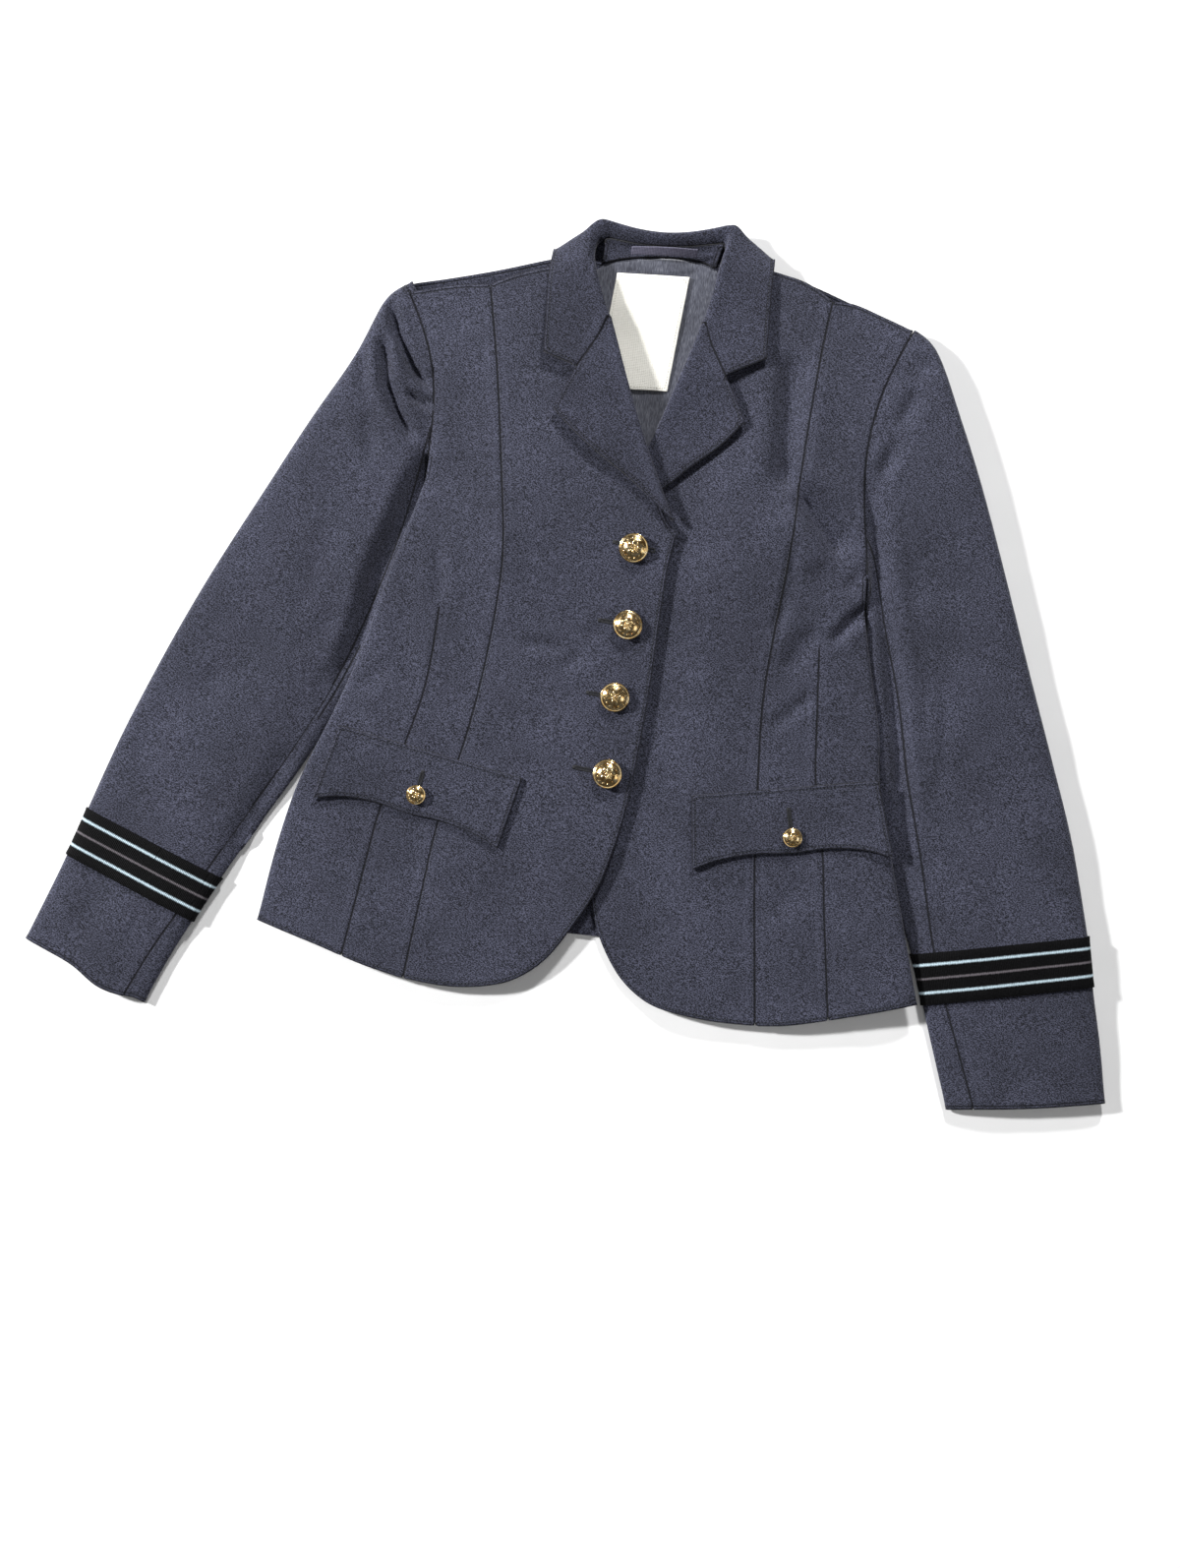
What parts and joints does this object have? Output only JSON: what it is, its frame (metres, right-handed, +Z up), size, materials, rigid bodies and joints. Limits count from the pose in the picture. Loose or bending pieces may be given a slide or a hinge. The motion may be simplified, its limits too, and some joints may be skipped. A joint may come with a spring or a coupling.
{
  "type": "military dress tunic",
  "caption": "Fitted wool service-dress tunic laid flat on its back, buttoned, with notched lapels, scalloped pocket flaps and lace rings on the cuffs.",
  "frame": {"origin": "on the floor plane under the back, on the centre front line, 24 mm below the top front button", "axes": "+X to the wearer's left, +Y from the hem to the collar, +Z up out of the front of the tunic as it lies on its back"},
  "size_m": [0.858, 0.6731, 0.0267],
  "materials": {
    "wool_cloth": "blue-grey wool barathea, fine melange, matt",
    "satin_lining": "dark grey satin lining, slight sheen",
    "woven_label": "plain cream cloth label, matt",
    "cuff_lace": "black ribbed braid with pale blue stripes",
    "gilt_brass": "polished gilt, domed and stamped"
  },
  "bodies": {
    "root": {"back": "wool_cloth", "front_right": "wool_cloth", "front_left": "wool_cloth", "side_right": "wool_cloth", "side_left": "wool_cloth", "lapel_right": "wool_cloth", "lapel_left": "wool_cloth", "collar": "wool_cloth", "collar_stand": "wool_cloth", "sleeve_top_right": "wool_cloth", "sleeve_top_left": "wool_cloth", "sleeve_under_right": "wool_cloth", "sleeve_under_left": "wool_cloth", "cuff_lace_right": "cuff_lace", "cuff_lace_left": "cuff_lace", "pocket_flap_right": "wool_cloth", "pocket_flap_left": "wool_cloth", "lining": "satin_lining", "label": "woven_label", "hanger_loop": "satin_lining", "button_front_1": "gilt_brass", "button_front_2": "gilt_brass", "button_front_3": "gilt_brass", "button_front_4": "gilt_brass", "button_flap_right": "gilt_brass", "button_flap_left": "gilt_brass"}
  },
  "joints": []
}
